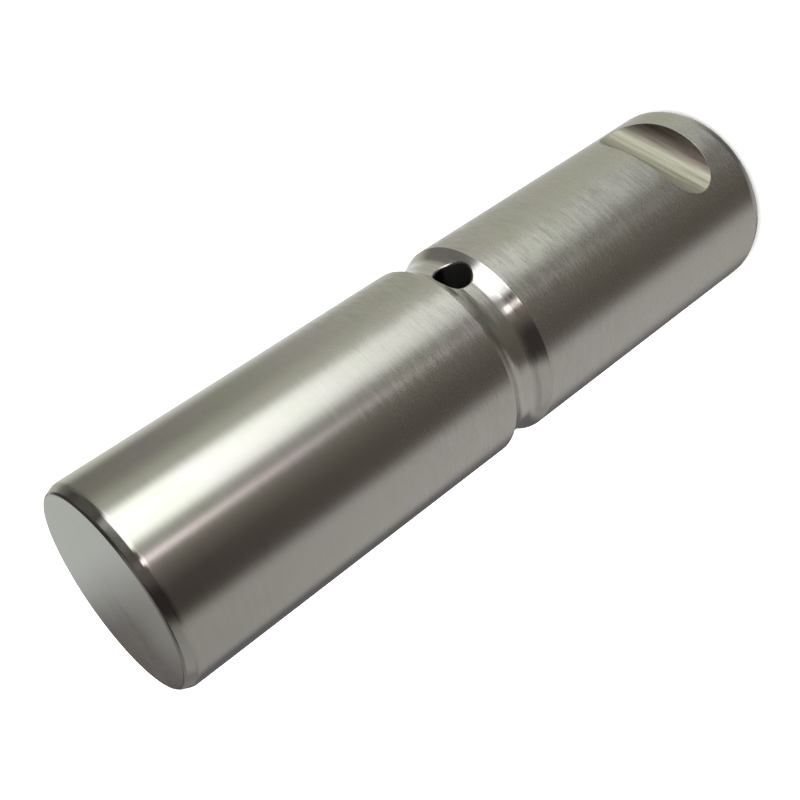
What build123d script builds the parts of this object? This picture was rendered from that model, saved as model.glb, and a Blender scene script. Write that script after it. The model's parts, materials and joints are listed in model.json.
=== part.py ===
from build123d import *
import os
from math import cos, isclose, radians, sin, tan

# Suspension pin: a plain round steel pin, turned from one bar, so it is one solid.
# It stands on the end beside its locking groove. The origin is the centre of that end
# face, +Z runs up the pin's axis, and the locking groove faces -Y.
# Lengths are in millimetres, angles in degrees.

# ---- the bar
PIN_D = 20.0
PIN_L = 75.0

# ---- lead-in cone on both ends, its two corners turned round
LEAD_IN_L = 1.0
LEAD_IN_STEP = 0.45
LEAD_IN_FACE_R = 0.4
LEAD_IN_WALL_R = 1.0

# ---- waist: the shallow grease groove turned right round the pin
WAIST_Z = 35.2
WAIST_W = 4.9
WAIST_DEPTH = 0.75
WAIST_FLANK = 30.0
WAIST_FILLET = 2.0

# ---- cross hole, drilled through the pin in the floor of the waist
HOLE_D = 3.5
HOLE_Z = 35.2
HOLE_TURN = 6.0

# ---- locking groove: a round-bottomed cut straight across one side, for a locking bolt
LOCK_Z = 6.9
LOCK_R = 3.4
LOCK_DEPTH = 2.3

# ---- light rounding that takes the burr off the edges of the waist and hole, and off the
# sharper edges of the locking groove
EDGE_BREAK = 0.2
LOCK_EDGE_BREAK = 0.05

pin_r = PIN_D / 2
waist_floor_r = pin_r - WAIST_DEPTH
waist_low = WAIST_Z - WAIST_W / 2
waist_high = WAIST_Z + WAIST_W / 2
flank_run = WAIST_DEPTH / tan(radians(WAIST_FLANK))
lock_axis_y = -(pin_r - LOCK_DEPTH + LOCK_R)


def turned_blank():
    """The pin as it leaves the lathe: half of its section, spun about Z."""
    half_section = [
        (0, 0),
        (pin_r - LEAD_IN_STEP, 0),
        (pin_r, LEAD_IN_L),
        (pin_r, waist_low),
        (waist_floor_r, waist_low + flank_run),
        (waist_floor_r, waist_high - flank_run),
        (pin_r, waist_high),
        (pin_r, PIN_L - LEAD_IN_L),
        (pin_r - LEAD_IN_STEP, PIN_L),
        (0, PIN_L),
    ]
    end_face_corners = [half_section[1], half_section[8]]
    lead_in_wall_corners = [half_section[2], half_section[7]]
    waist_floor_corners = half_section[4:6]
    waist_mouth_corners = [half_section[3], half_section[6]]
    with BuildPart() as blank:
        with BuildSketch(Plane.XZ) as half:
            with BuildLine():
                Polyline(*half_section, close=True)
            make_face()
            fillet(corners_at(half, end_face_corners), LEAD_IN_FACE_R)
            fillet(corners_at(half, lead_in_wall_corners), LEAD_IN_WALL_R)
            fillet(corners_at(half, waist_floor_corners), WAIST_FILLET)
            fillet(corners_at(half, waist_mouth_corners), EDGE_BREAK)
        revolve(axis=Axis.Z)
    return blank.part


def corners_at(sketch, places):
    """The corners of a sketch that stand at the given places."""
    return [
        min(sketch.vertices(), key=lambda corner: abs(corner.X - x) + abs(corner.Y - y))
        for x, y in places
    ]


def cross_hole():
    """The drill's path: right through the pin, square to its axis."""
    turn = radians(HOLE_TURN)
    drill_line = Plane(origin=(0, 0, HOLE_Z), z_dir=(sin(turn), -cos(turn), 0))
    return drill_line * Cylinder(HOLE_D / 2, PIN_D)


def locking_groove():
    """The cutter's path across the -Y side of the pin."""
    cutter_line = Plane(origin=(0, lock_axis_y, LOCK_Z), z_dir=(1, 0, 0))
    return cutter_line * Cylinder(LOCK_R, PIN_D)


def rims(pin, cutter_r):
    """The curved edges round every wall that a cutter of this radius left."""
    walls = [
        face
        for face in pin.faces().filter_by(GeomType.CYLINDER)
        if face.radius is not None and isclose(face.radius, cutter_r)
    ]
    return [edge for wall in walls for edge in wall.edges() if edge.geom_type != GeomType.LINE]


def suspension_pin():
    """The turned blank with its cross hole and locking groove, their rims rounded."""
    pin = turned_blank() - cross_hole() - locking_groove()
    pin = pin.fillet(EDGE_BREAK, rims(pin, HOLE_D / 2))
    return pin.fillet(LOCK_EDGE_BREAK, rims(pin, LOCK_R))


os.makedirs("parts", exist_ok=True)
export_step(suspension_pin(), "parts/suspension_pin.step")
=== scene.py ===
import json
from math import degrees, radians

import bmesh
import bpy
from mathutils import Matrix, Vector


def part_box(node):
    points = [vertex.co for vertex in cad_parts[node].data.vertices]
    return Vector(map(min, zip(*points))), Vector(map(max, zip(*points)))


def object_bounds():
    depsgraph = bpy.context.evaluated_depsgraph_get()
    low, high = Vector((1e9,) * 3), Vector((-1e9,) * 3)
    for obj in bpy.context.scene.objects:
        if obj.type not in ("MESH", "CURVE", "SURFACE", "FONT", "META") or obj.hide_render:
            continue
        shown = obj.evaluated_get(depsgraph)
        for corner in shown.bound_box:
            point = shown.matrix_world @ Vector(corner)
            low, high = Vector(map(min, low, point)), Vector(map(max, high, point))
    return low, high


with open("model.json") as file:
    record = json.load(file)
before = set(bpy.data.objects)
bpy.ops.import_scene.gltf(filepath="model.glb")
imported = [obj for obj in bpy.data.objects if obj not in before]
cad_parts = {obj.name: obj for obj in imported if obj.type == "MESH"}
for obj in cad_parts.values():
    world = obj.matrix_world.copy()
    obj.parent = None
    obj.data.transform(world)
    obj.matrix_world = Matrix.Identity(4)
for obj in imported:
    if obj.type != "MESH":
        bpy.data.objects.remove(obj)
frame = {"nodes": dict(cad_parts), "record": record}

# A suspension pin of turned steel. It stands on the end beside its locking groove, its axis
# up +Z, with the groove facing -Y. Lengths are in metres, angles in degrees.

cad_low, cad_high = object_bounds()
mounts = {mount["name"]: mount for mount in frame["record"]["mounts"]}

# ---- sizes of the pin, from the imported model
MM = 0.001
pin_low, pin_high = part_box("suspension_pin")
pin_length = pin_high.z - pin_low.z
hole_middle = mounts["cross_hole"]["pos_m"][2]
hole_radius = mounts["cross_hole"]["dims"]["r_mm"] * MM
hole_line = Vector(mounts["cross_hole"]["axis"])

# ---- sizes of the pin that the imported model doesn't state
LEAD_IN = 1.0 * MM
WAIST_WIDTH = 4.9 * MM
GROOVE_RADIUS = 3.4 * MM

# The cross hole is drilled in the middle of the waist.
waist_middle = hole_middle

# The groove is round about a line along X, which lies outside the pin's wall.
groove_line_y = mounts["locking_groove"]["pos_m"][1] - GROOVE_RADIUS
groove_line_z = mounts["locking_groove"]["pos_m"][2]


# ================================================================ shader building

class Wire:
    """One output or value in a node tree. Python's operators on it add Math nodes."""

    def __init__(self, shader, source):
        self.shader = shader
        self.source = source

    def math(self, operation, *others):
        inputs = dict(enumerate((self, *others)))
        return self.shader.add("ShaderNodeMath", {"operation": operation}, inputs)

    def __add__(self, other):
        return self.math("ADD", other)

    def __sub__(self, other):
        return self.math("SUBTRACT", other)

    def __mul__(self, other):
        return self.math("MULTIPLY", other)

    def __pow__(self, other):
        return self.math("POWER", other)

    def __neg__(self):
        return self.math("MULTIPLY", -1.0)

    def __rsub__(self, other):
        return Wire(self.shader, other).math("SUBTRACT", self)

    __radd__ = __add__
    __rmul__ = __mul__


class Shader:
    """The node tree of a material or of the world, emptied and built up again."""

    def __init__(self, owner):
        owner.use_nodes = True
        self.tree = owner.node_tree
        self.tree.nodes.clear()

    def add(self, kind, settings=None, inputs=None, output=0):
        """Adds a node: its settings first, then the values or links of its sockets."""
        node = self.tree.nodes.new(kind)
        for name, value in (settings or {}).items():
            setattr(node, name, value)
        for name, value in (inputs or {}).items():
            source = value.source if isinstance(value, Wire) else value
            if isinstance(source, bpy.types.NodeSocket):
                self.tree.links.new(source, node.inputs[name])
            else:
                node.inputs[name].default_value = source
        return Wire(self, node.outputs[output]) if node.outputs else None

    def split(self, vector):
        """The x, y and z of a vector."""
        first = self.add("ShaderNodeSeparateXYZ", None, {0: vector})
        return [Wire(self, socket) for socket in first.source.node.outputs]

    def stretch(self, vector, factors):
        """A vector with its x, y and z each multiplied by a number of its own."""
        inputs = {0: vector, 1: factors}
        return self.add("ShaderNodeVectorMath", {"operation": "MULTIPLY"}, inputs)

    def scale(self, vector, factor):
        """A vector or a colour, all of it multiplied by one value."""
        inputs = {0: vector, "Scale": factor}
        return self.add("ShaderNodeVectorMath", {"operation": "SCALE"}, inputs)

    def blend(self, share, first, second):
        """A mix of two colours, all second where share is 1. It uses the colour sockets."""
        inputs = {0: share, 6: self.colour(first), 7: self.colour(second)}
        return self.add("ShaderNodeMix", {"data_type": "RGBA"}, inputs, output=2)

    @staticmethod
    def colour(value):
        """What a colour socket takes: a wire, or red, green, blue and an alpha of 1."""
        return value if isinstance(value, Wire) else (*value, 1.0)

    def ease(self, value, low, high, to_low=0.0, to_high=1.0):
        """Goes smoothly from to_low to to_high while value goes from low to high."""
        settings = {"interpolation_type": "SMOOTHSTEP"}
        inputs = {"Value": value, "From Min": low, "From Max": high,
                  "To Min": to_low, "To Max": to_high}
        return self.add("ShaderNodeMapRange", settings, inputs)

    def near(self, value, target, reach):
        """1 where value is within reach of target, 0 further off."""
        return (value - target).math("ABSOLUTE").math("LESS_THAN", reach)

    def inside(self, distance, limit, edge):
        """1 where distance is under limit. It comes in between two offsets from limit."""
        outer, inner = edge
        return self.ease(distance, limit + outer, limit + inner)

    def noise(self, vector, detail, roughness):
        """Noise about 0, which stays within half a unit of it."""
        inputs = {"Vector": vector, "Scale": 1.0, "Detail": detail, "Roughness": roughness}
        return self.add("ShaderNodeTexNoise", {"noise_dimensions": "3D"}, inputs) - 0.5


# ================================================================ camera

CAMERA_PLACE = Vector((-57.9, -84.9, 98.1)) * MM
CAMERA_AIM = Vector((-0.5, 0.3, 43.2)) * MM
CAMERA_ROLL = -125.1

# The nearest and the furthest that the camera sees.
CAMERA_REACH = (0.005, 20.0)

# The lens and the sensor's width are in millimetres, as Blender takes them.
CAMERA_LENS = 56.5
CAMERA_SENSOR = 36.0


def make_camera():
    """A close camera above the pin's left front, rolled so that the pin lies slantwise."""
    data = bpy.data.cameras.new("camera")
    data.sensor_width = CAMERA_SENSOR
    data.lens = CAMERA_LENS
    data.clip_start, data.clip_end = CAMERA_REACH
    camera = bpy.data.objects.new("camera", data)
    bpy.context.scene.collection.objects.link(camera)
    level = (CAMERA_AIM - CAMERA_PLACE).to_track_quat("-Z", "Y").to_matrix().to_4x4()
    roll = Matrix.Rotation(radians(CAMERA_ROLL), 4, "Z")
    camera.matrix_world = Matrix.Translation(CAMERA_PLACE) @ level @ roll
    bpy.context.scene.camera = camera


# ================================================================ studio

# The steel mirrors a table and the panels round the pin. All else is lit by an even white
# dome. Heights in the studio are the z of a unit vector towards what the steel mirrors.
DOME_LIGHT = 2.2
PALE_TABLE = (0.61, 0.61, 0.53)

# Right under the pin the table is in shade, which ends over these heights.
SHADED_TABLE = (0.20, 0.19, 0.17)
TABLE_SHADE_ENDS = (-0.99, -0.86)

HALF_TURN = 180.0

# Soft panels round the pin, as its steel sees them; a later one stands in front of those
# before it. "span" runs round the pin, in degrees from -Y turning towards -X, and "soft" is
# the half width of its two upright edges. "rise" and "fall" are the heights over which a
# panel comes in and goes out again. One with no span runs all the way round, one with no
# rise goes right down, and one with no fall right up.
PANELS = {
    "ceiling": dict(rise=(-0.02, 0.22), tint=(0.072, 0.063, 0.060)),
    "top_light": dict(rise=(0.93, 0.995), tint=(0.35, 0.34, 0.32)),
    "left_shade": dict(span=(-101, -50), soft=(10, 16), rise=(-0.56, -0.24), fall=(0.0, 0.3),
                       tint=(0.23, 0.22, 0.20)),
    "right_table": dict(span=(80, 175), soft=(10, 10), fall=(0.3, 0.75),
                        tint=(0.54, 0.525, 0.505)),
    "right_shade": dict(span=(90, 168), soft=(12, 12), rise=(-0.5, -0.1), fall=(-0.1, 0.15),
                        tint=(0.35, 0.34, 0.33)),
    "dark_side": dict(span=(10, 95), soft=(30, 12), tint=(0.185, 0.163, 0.145)),
    "dark_core": dict(span=(60, 90), soft=(18, 10), tint=(0.135, 0.118, 0.100)),
    "dark_corner": dict(span=(50, 90), soft=(12, 10), rise=(-0.45, -0.22),
                        tint=(0.050, 0.041, 0.039)),
    "window_shade": dict(span=(-38, 36), soft=(12, 12), fall=(-0.69, -0.49),
                         tint=(0.165, 0.165, 0.148)),
    "ceiling_glow": dict(span=(-78, -40), soft=(12, 8), rise=(0.18, 0.30), fall=(0.55, 0.65),
                         tint=(0.17, 0.16, 0.15)),
    "window_glow": dict(span=(-40, 30), soft=(9, 16), rise=(-0.46, -0.28), fall=(0.1, 0.4),
                        tint=(0.50, 0.50, 0.46)),
    "window_foot": dict(span=(-26, 0), soft=(7, 9), rise=(-0.51, -0.39), fall=(0.0, 0.2),
                        tint=(2.15, 2.20, 2.10)),
    "window": dict(span=(-30, 9), soft=(8, 6), rise=(-0.46, -0.28), fall=(0.40, 0.47),
                   tint=(2.2, 2.25, 2.2)),
    "window_head": dict(span=(-27, 12), soft=(6, 5), rise=(0.05, 0.22), fall=(0.38, 0.44),
                        tint=(2.8, 2.85, 2.8)),
    "tube": dict(span=(24, 30), soft=(2, 2), rise=(-0.36, -0.14), fall=(0.40, 0.46),
                 tint=(3.1, 2.7, 2.9)),
    "back_gap": dict(span=(169, 214), soft=(9, 1.5), rise=(-0.9, -0.8), fall=(0.5, 0.8),
                     tint=(0.14, 0.13, 0.14)),
    "left_rim": dict(span=(-146, -116), soft=(1.5, 12), rise=(-0.95, -0.8), fall=(-0.55, 0.0),
                     tint=(0.88, 0.92, 0.95)),
    "ceiling_back": dict(span=(140, 218), soft=(10, 6), rise=(0.35, 0.50),
                         tint=(0.30, 0.29, 0.28)),
    "back_glow": dict(span=(160, 196), soft=(8, 6), rise=(-0.16, -0.02),
                      tint=(0.33, 0.32, 0.31)),
    "end_gap": dict(span=(202, 216), soft=(6, 4), rise=(0.02, 0.10), fall=(0.45, 0.6),
                    tint=(0.115, 0.098, 0.094)),
    "end_glow": dict(span=(-151, -140), soft=(2.5, 3), rise=(0.208, 0.245), fall=(0.45, 0.6),
                     tint=(0.40, 0.40, 0.385)),
    "end_card": dict(span=(-145.5, -122), soft=(2.1, 8), rise=(0.02, 0.10), fall=(0.45, 0.6),
                     tint=(0.57, 0.59, 0.57)),
}


def cover(shader, panel, turn, z):
    """How far a panel covers what is behind it: 1 on it and 0 off it."""
    share = 1.0
    if "rise" in panel:
        share = share * shader.ease(z, *panel["rise"])
    if "fall" in panel:
        share = share * shader.ease(z, *reversed(panel["fall"]))
    if "span" in panel:
        start, stop = panel["span"]
        half = (stop - start) / 2
        off = (turn - (start + stop) / 2).math("WRAP", HALF_TURN, -HALF_TURN)
        left, right = panel["soft"]
        share = share * shader.ease(off, -half - left, -half + left)
        share = share * shader.ease(off, half + right, half - right)
    return share


def make_studio():
    """The world: what the steel mirrors, and the dome for every other ray."""
    world = bpy.data.worlds.new("studio")
    bpy.context.scene.world = world
    # what the world shows depends on the kind of ray, so it isn't sampled as a light
    world.cycles.sampling_method = "NONE"
    shader = Shader(world)
    x, y, z = shader.split(shader.add("ShaderNodeTexCoord", output="Generated"))
    turn = (-x).math("ARCTAN2", -y) * degrees(1.0)
    light = shader.blend(shader.ease(z, *TABLE_SHADE_ENDS), SHADED_TABLE, PALE_TABLE)
    for panel in PANELS.values():
        light = shader.blend(cover(shader, panel, turn, z), light, panel["tint"])
    glossy = shader.add("ShaderNodeLightPath", output="Is Glossy Ray")
    seen = shader.blend(glossy, (DOME_LIGHT,) * 3, light)
    background = shader.add("ShaderNodeBackground", None, {"Color": seen, "Strength": 1.0})
    shader.add("ShaderNodeOutputWorld", None, {"Surface": background})


FLOOR_RADIUS = 3.0
FLOOR_CORNERS = 96
FLOOR_DROP = 0.1 * MM
FLOOR_PAINT = (0.88, 0.88, 0.87)


def make_floor():
    """A pale round floor just under the pin, which the steel doesn't mirror."""
    mesh = bmesh.new()
    bmesh.ops.create_circle(mesh, cap_ends=True, segments=FLOOR_CORNERS, radius=FLOOR_RADIUS)
    data = bpy.data.meshes.new("floor")
    mesh.to_mesh(data)
    mesh.free()
    floor = bpy.data.objects.new("floor", data)
    bpy.context.scene.collection.objects.link(floor)
    floor.location.z = cad_low.z - FLOOR_DROP
    floor.visible_glossy = False
    paint = bpy.data.materials.new("pale_floor")
    shader = Shader(paint)
    surface = shader.add("ShaderNodeBsdfDiffuse", None, {"Color": shader.colour(FLOOR_PAINT)})
    shader.add("ShaderNodeOutputMaterial", None, {"Surface": surface})
    data.materials.append(paint)


# ================================================================ steel

CLEAN_STEEL = (0.575, 0.56, 0.54)
YELLOWER_STEEL = (0.56, 0.56, 0.51)
# The groove's steel is painted darker and yellower than the walls. The darkness is painted shade
# in the recess.
GROOVE_STEEL_IN_PAINTED_SHADE = (0.40, 0.39, 0.315)
# The groove's lower wall is painted darker still, as deeper painted shade.
GROOVE_WALL_IN_DEEPER_PAINTED_SHADE = (0.24, 0.20, 0.175)

# The clean steel turns yellower while the tint's noise goes from the first to the second.
TINT_TURNS = (-0.15, 0.15)

# Painted shade on the groove's lower wall starts and is full this far below the middle of the
# groove.
DEEPER_SHADE_STARTS = 1.3 * MM
DEEPER_SHADE_FULL = 2.7 * MM

# A point this near the plane of an end face is on it. The other surfaces come in about their
# limits, between two offsets from them.
FACE_REACH = 0.02 * MM
CUT_EDGE = (0.03 * MM, 0.01 * MM)
WAIST_EDGE = (0.10 * MM, 0.05 * MM)
LEAD_IN_EDGE = (0.03 * MM, -0.03 * MM)

# Where the pin is handled and worn, as shares of its length up from the groove's end: each
# comes in from the first share to the second. Towards the groove's end some wear is left.
HANDLED = (0.80, 0.45)
WORN_FROM_ABOVE = (0.80, 0.60)
WORN_FROM_BELOW = (0.15, 0.45)
WEAR_LEFT_BELOW = 0.35

# The marks on the steel are noise. "cells" is how many there are to the metre, along X, Y and
# Z, or along X, Y and the path of the lathe's tool: up the walls and inwards on the faces.
MARKS = {
    # the tool's fine lines, round the walls and in rings on the end faces
    "lathe_lines": dict(on_path=True, cells=(40, 40, 4600), detail=3.0, roughness=0.65),
    # its feed lines, wider apart, each burnished more or less than the next
    "feed_lines": dict(on_path=True, cells=(560, 560, 3000), detail=1.0, roughness=0.5),
    # short rubbed streaks along the pin, where it has slid in its bush
    "streaks": dict(on_path=False, cells=(4200, 4200, 500), detail=2.0, roughness=0.6),
    # the locking groove was milled across, so its lines run along X
    "milled_lines": dict(on_path=False, cells=(110, 2300, 2300), detail=3.0, roughness=0.6),
    # broad soft patches, one noise for how clean the steel is and one for its tint
    "cloud": dict(on_path=False, cells=(420, 420, 420), detail=3.0, roughness=0.6),
    "tint": dict(on_path=False, cells=(260, 260, 156), detail=2.0, roughness=0.5),
}

# What the relief, the roughness and the shade are made of: how much of each part goes in.
# A relief of 1 stands RELIEF_HEIGHT high, and a shade of 1 leaves the steel's tone as it is.
RELIEF_HEIGHT = 0.0018 * MM
RELIEF = {
    "turned_lines": 0.42, "worn_turned_lines": 0.10, "end_rings": -0.22,
    "wall_streaks": 0.40, "handled_streaks": 0.30,
    "worn_feed_lines": 0.20, "groove_lines": 3.4,
}
ROUGHNESS = {
    "everywhere": 0.235, "handled": 0.035, "cloud": 0.06, "lathe_lines": 0.06,
    "wall_feed_lines": 0.022, "worn_feed_lines": 0.198,
    "end_face": -0.15, "groove": 0.11, "hole": 0.30, "lead_in": -0.10, "waist": -0.07,
}
SHADE = {
    "everywhere": 1.0, "turned_lines": 0.09, "groove_lines": 1.5,
    "wall_streaks": 0.03, "handled_streaks": 0.07, "cloud": 0.08,
}

# Painted shade: the shares of their tone that the bore of the hole and the lead-in cones lose.
HOLE_PAINTED_SHADE = 0.75
LEAD_IN_PAINTED_SHADE = 0.28

# How far the fine lines stretch a highlight, and which way, as a share of a turn.
HIGHLIGHT_STRETCH = 0.8
HIGHLIGHT_TURN = 0.25


def find_surfaces(shader, x, y, z):
    """The pin's surfaces by name: each is 1 on its own surface and 0 elsewhere."""
    from_groove_line = ((y - groove_line_y) ** 2 + (z - groove_line_z) ** 2).math("SQRT")
    across_hole = x * hole_line.y - y * hole_line.x
    from_hole_line = (across_hole ** 2 + (z - hole_middle) ** 2).math("SQRT")
    from_waist = (z - waist_middle).math("ABSOLUTE")
    from_end = pin_length / 2 - (z - pin_length / 2).math("ABSOLUTE")

    end_face = shader.near(z, pin_low.z, FACE_REACH) + shader.near(z, pin_high.z, FACE_REACH)
    groove = shader.inside(from_groove_line, GROOVE_RADIUS, CUT_EDGE)
    wall = (1.0 - end_face) * (1.0 - groove)
    return {
        "end_face": end_face,
        "groove": groove,
        "wall": wall,
        "hole": shader.inside(from_hole_line, hole_radius, CUT_EDGE),
        "waist": shader.inside(from_waist, WAIST_WIDTH / 2, WAIST_EDGE) * wall,
        "lead_in": shader.inside(from_end, LEAD_IN, LEAD_IN_EDGE) * (1.0 - end_face),
    }


def find_wear(shader, z):
    """How handled the pin is, most towards its groove, and how worn, most near the middle."""
    height = z * (1 / pin_length)
    handled = shader.ease(height, *HANDLED)
    worn_above = shader.ease(height, *WORN_FROM_ABOVE)
    worn_below = shader.ease(height, *WORN_FROM_BELOW, WEAR_LEFT_BELOW, 1.0)
    return handled, worn_above * worn_below


def make_marks(shader, place, x, y, z):
    """The marks by name, each a noise about 0."""
    tool_path = z - (x * x + y * y).math("SQRT")
    on_path = shader.add("ShaderNodeCombineXYZ", None, {0: x, 1: y, 2: tool_path})
    marks = {}
    for name, mark in MARKS.items():
        where = shader.stretch(on_path if mark["on_path"] else place, mark["cells"])
        marks[name] = shader.noise(where, mark["detail"], mark["roughness"])
    return marks


def weigh(parts, weights):
    """The sum of the parts that weights names, each times its weight."""
    return sum(weight * parts[name] for name, weight in weights.items())


def make_turned_steel():
    """Turned steel: fine lines round the walls and faces, satin from wear and handling, and
    painted shade in the groove, in the hole and on the lead-in cones.
    """
    steel = bpy.data.materials.new("turned_steel")
    shader = Shader(steel)
    place = shader.add("ShaderNodeTexCoord", output="Object")
    x, y, z = shader.split(place)
    surfaces = find_surfaces(shader, x, y, z)
    handled, worn = find_wear(shader, z)
    marks = make_marks(shader, place, x, y, z)

    turned_lines = marks["lathe_lines"] * (1.0 - surfaces["groove"])
    wall_feed_lines = marks["feed_lines"] * surfaces["wall"]
    wall_streaks = marks["streaks"] * surfaces["wall"]
    parts = {
        **surfaces,
        **marks,
        "everywhere": 1.0,
        "handled": handled,
        "turned_lines": turned_lines,
        "worn_turned_lines": turned_lines * worn,
        "end_rings": turned_lines * surfaces["end_face"],
        "wall_streaks": wall_streaks,
        "handled_streaks": wall_streaks * handled,
        "wall_feed_lines": wall_feed_lines,
        "worn_feed_lines": wall_feed_lines * worn,
        "groove_lines": marks["milled_lines"] * surfaces["groove"],
    }
    bump = shader.add("ShaderNodeBump", None, {
        "Strength": 1.0, "Distance": RELIEF_HEIGHT, "Height": weigh(parts, RELIEF)})

    steel_tone = shader.blend(shader.ease(marks["tint"], *TINT_TURNS), CLEAN_STEEL, YELLOWER_STEEL)
    # Deeper painted shade on the groove's lower wall.
    deeper_shade_share = shader.ease(z, groove_line_z - DEEPER_SHADE_STARTS, groove_line_z - DEEPER_SHADE_FULL)
    groove_tone_with_painted_shade = shader.blend(deeper_shade_share, GROOVE_STEEL_IN_PAINTED_SHADE, GROOVE_WALL_IN_DEEPER_PAINTED_SHADE)
    # The groove gets its own tone, painted darker as shade in the recess.
    tone_with_painted_groove_shade = shader.blend(surfaces["groove"], steel_tone, groove_tone_with_painted_shade)
    shade = weigh(parts, SHADE)
    # Painted shade inside the bore of the cross hole, and on the lead-in cones.
    shade = shade * (1.0 - HOLE_PAINTED_SHADE * surfaces["hole"])
    shade = shade * (1.0 - LEAD_IN_PAINTED_SHADE * surfaces["lead_in"])

    surface = shader.add("ShaderNodeBsdfPrincipled", None, {
        "Base Color": shader.scale(tone_with_painted_groove_shade, shade),
        "Metallic": 1.0,
        "Roughness": weigh(parts, ROUGHNESS),
        "Anisotropic": HIGHLIGHT_STRETCH,
        "Anisotropic Rotation": HIGHLIGHT_TURN,
        "Normal": bump,
    })
    shader.add("ShaderNodeOutputMaterial", None, {"Surface": surface})
    return steel


make_camera()
make_studio()
make_floor()
pin = frame["nodes"]["suspension_pin"]
pin.material_slots[0].material = make_turned_steel()

scene = bpy.context.scene
scene.view_settings.view_transform = "Standard"
